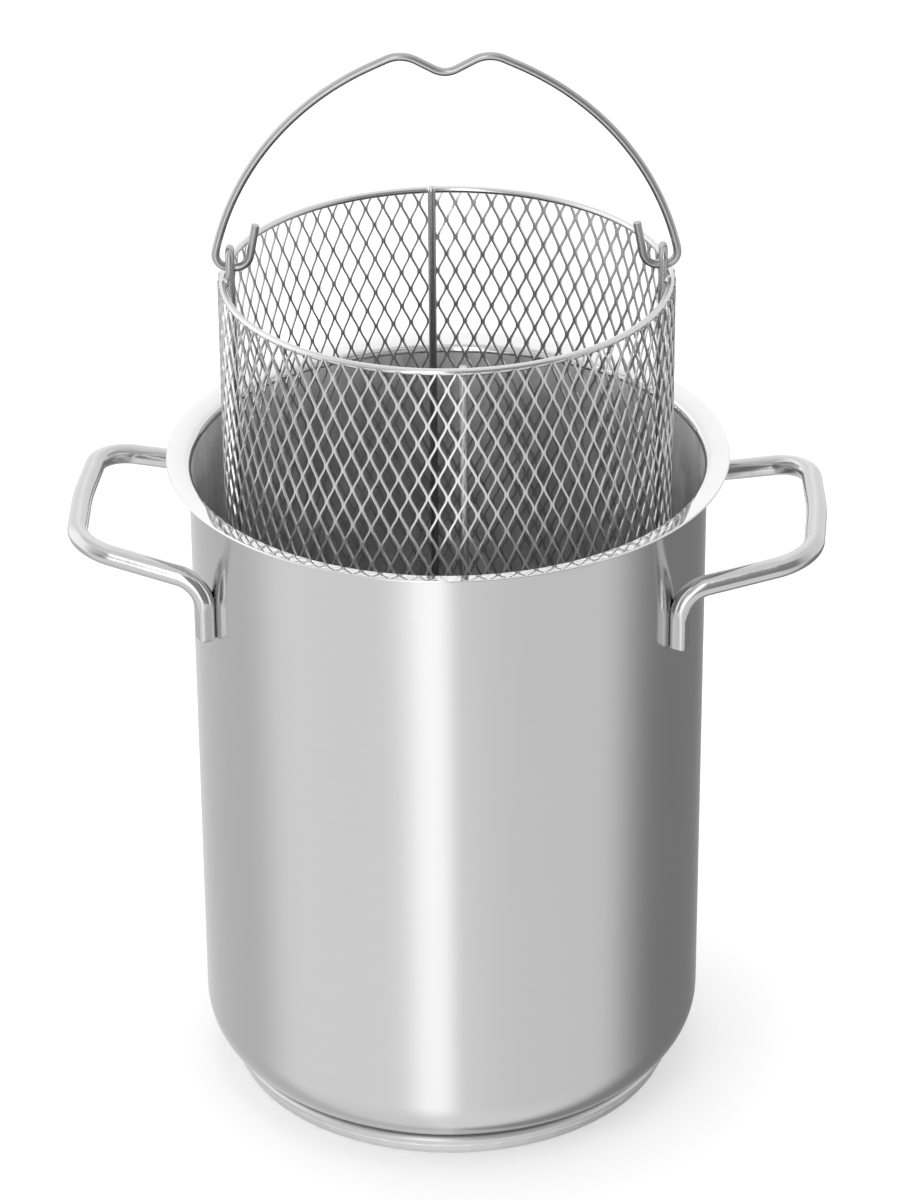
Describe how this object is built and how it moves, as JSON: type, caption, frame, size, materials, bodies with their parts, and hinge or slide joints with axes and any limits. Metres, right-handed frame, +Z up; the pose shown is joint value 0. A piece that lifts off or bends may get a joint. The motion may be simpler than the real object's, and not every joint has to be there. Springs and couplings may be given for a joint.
{
  "type": "asparagus pot",
  "caption": "Tall round steel pot with a flared rim, sandwich base and bent rod side handles, and a wire mesh basket that lifts out by a folding bail.",
  "frame": {"origin": "centre of the underside of the base, at the middle of the bottom of the bounding box", "axes": "+Z up along the pot, +X through the right side handle, -Y towards the viewer of the picture, who stands 3.15 degrees to the right of it"},
  "size_m": [0.2346, 0.1738, 0.3442],
  "materials": {
    "satin_steel": "satin",
    "polished_steel": "polished",
    "capsule_steel": "fine satin",
    "aluminium": "mill",
    "ring_steel": "drawn wire",
    "frame_steel": "drawn wire",
    "mesh_steel": "expanded sheet",
    "bail_steel": "drawn wire"
  },
  "bodies": {
    "pot": {"pot_body": "satin_steel", "base_core": "aluminium", "base_cap": "capsule_steel", "left_handle": "polished_steel", "right_handle": "polished_steel"},
    "basket": {"basket_top_ring": "ring_steel", "basket_bottom_ring": "ring_steel", "basket_sleeve": "mesh_steel", "basket_floor": "mesh_steel", "cross_frame": "frame_steel", "eye_frame": "frame_steel"},
    "bail": {"bail": "bail_steel"}
  },
  "joints": [
    {"name": "basket_lift", "type": "slide", "parent": "pot", "child": "basket", "axis": [0, 0, 1], "range_m": [-0.0771, 0.135]},
    {"name": "bail_swing", "type": "hinge", "parent": "basket", "child": "bail", "pos_m": [0, 0, 0.27555], "axis": [0.9985, 0.055, 0], "range_deg": [-90, 90]}
  ]
}
